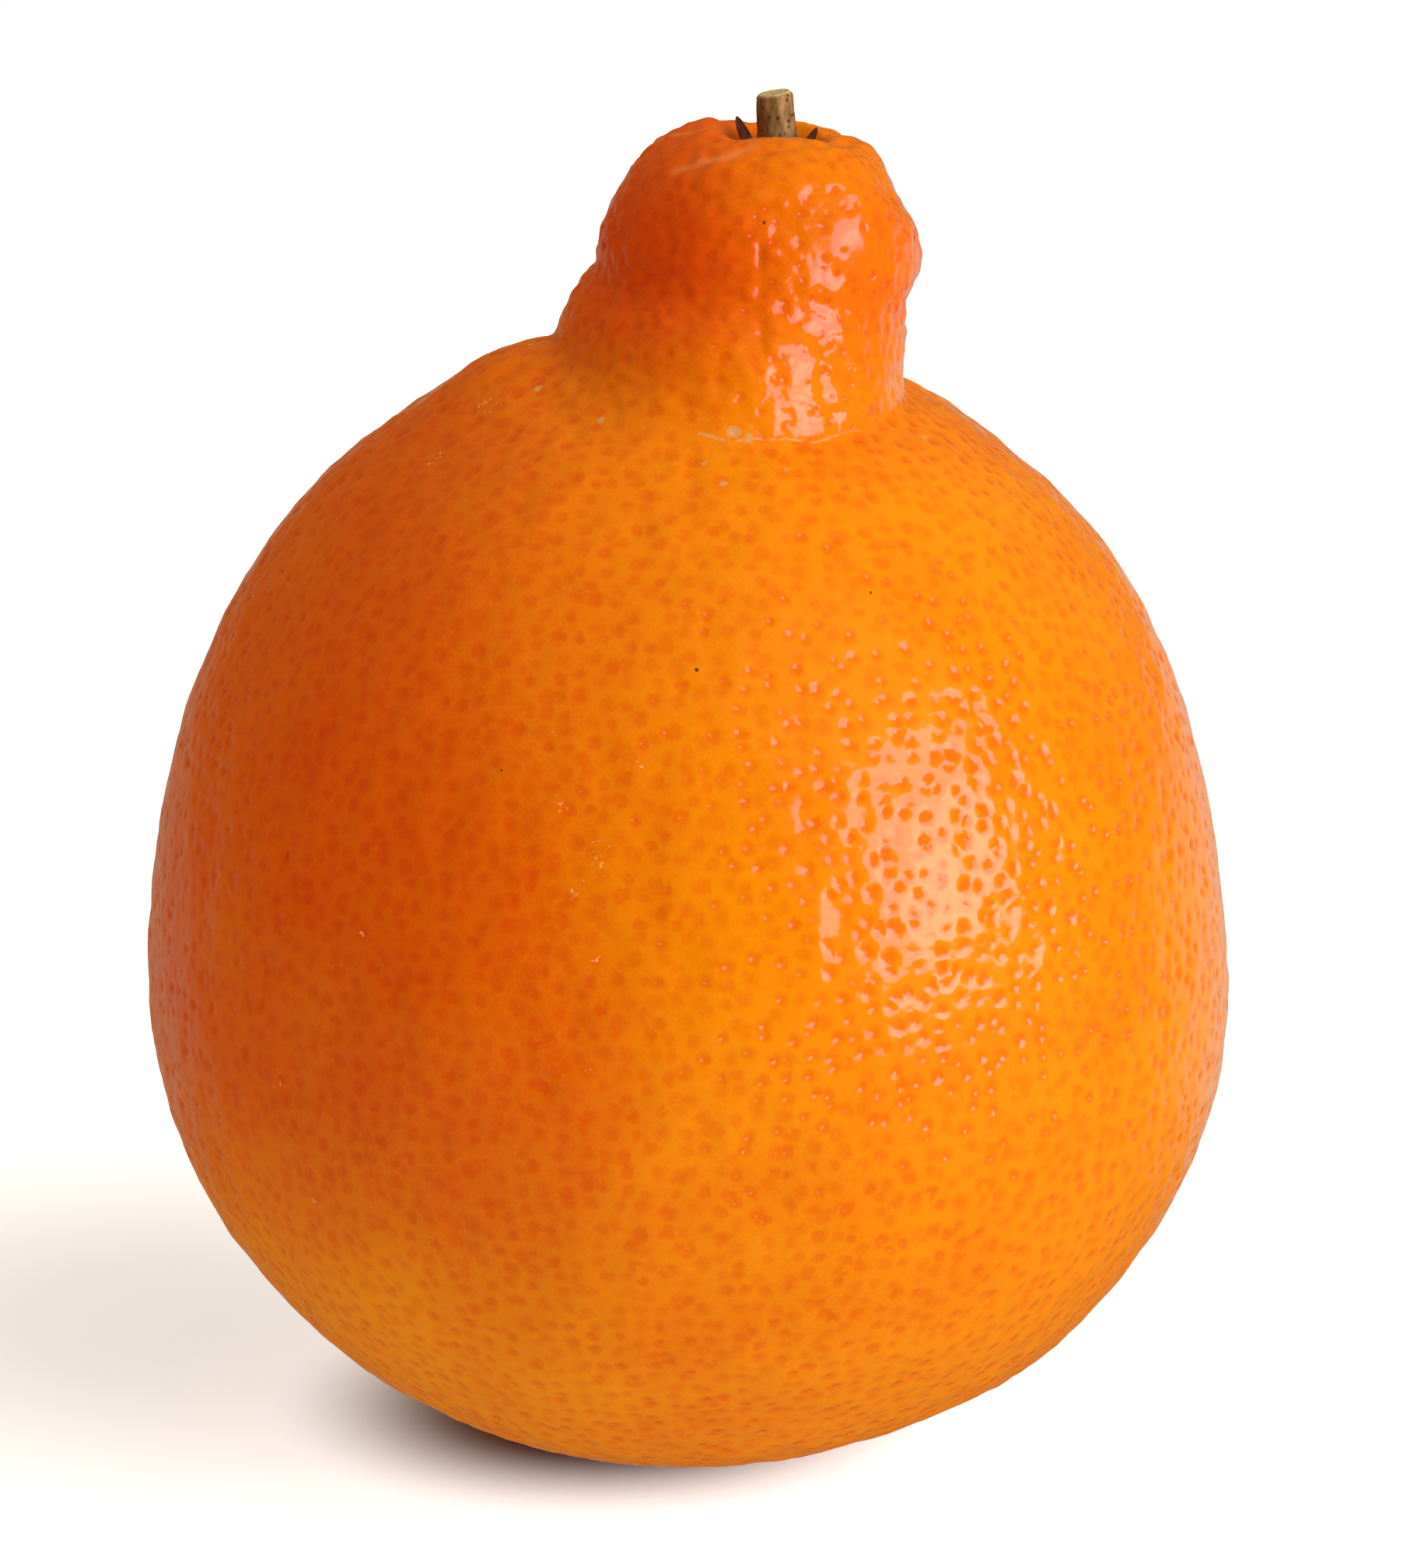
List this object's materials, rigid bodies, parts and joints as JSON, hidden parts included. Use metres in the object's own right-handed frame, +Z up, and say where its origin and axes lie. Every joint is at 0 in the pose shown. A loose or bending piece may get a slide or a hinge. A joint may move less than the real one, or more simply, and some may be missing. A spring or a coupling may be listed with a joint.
{
  "type": "tangelo fruit",
  "caption": "Bell-necked tangelo citrus fruit standing on a small flat spot, with a puckered crown, dried calyx and cut stem stub.",
  "frame": {"origin": "middle of the bottom of the bounding box, in the middle of the flat spot that the fruit rests on", "axes": "+Z up along the fruit's own axis to its neck, -Y the pictured front, +X the side that the neck leans to"},
  "size_m": [0.0763, 0.0764, 0.0968],
  "materials": {
    "peel": "waxy dimpled citrus peel",
    "dried_calyx": "dry and matt",
    "stem_bark": "dry green-brown bark with a cut end"
  },
  "bodies": {
    "root": {"fruit": "peel", "calyx": "dried_calyx", "stem": "stem_bark"}
  },
  "joints": []
}
